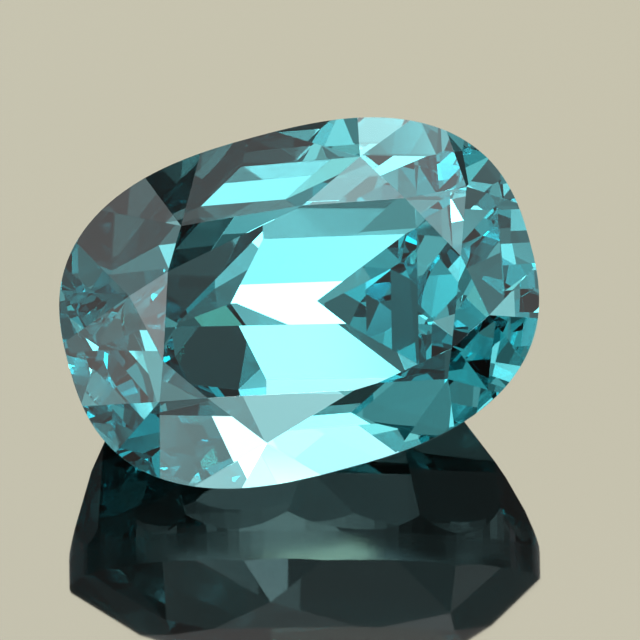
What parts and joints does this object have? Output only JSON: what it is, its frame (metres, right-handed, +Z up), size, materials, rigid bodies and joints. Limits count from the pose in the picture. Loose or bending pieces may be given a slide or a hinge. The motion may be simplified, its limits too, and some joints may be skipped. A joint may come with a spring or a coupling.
{
  "type": "faceted blue zircon gemstone",
  "caption": "Loose cushion-oval gemstone with a flat table, brilliant crown, thick girdle and stepped pavilion, lying on one pavilion facet.",
  "frame": {"origin": "middle of the bounding box in plan, at the resting facet", "axes": "+Z up from the surface it lies on, +X along the keel and the long side of the stone, the table faces -Y and up"},
  "size_m": [0.0088, 0.0062, 0.006],
  "materials": {
    "blue_zircon": "polished transparent teal-blue crystal, refractive index about 1.95"
  },
  "bodies": {
    "root": {"zircon": "blue_zircon"}
  },
  "joints": []
}
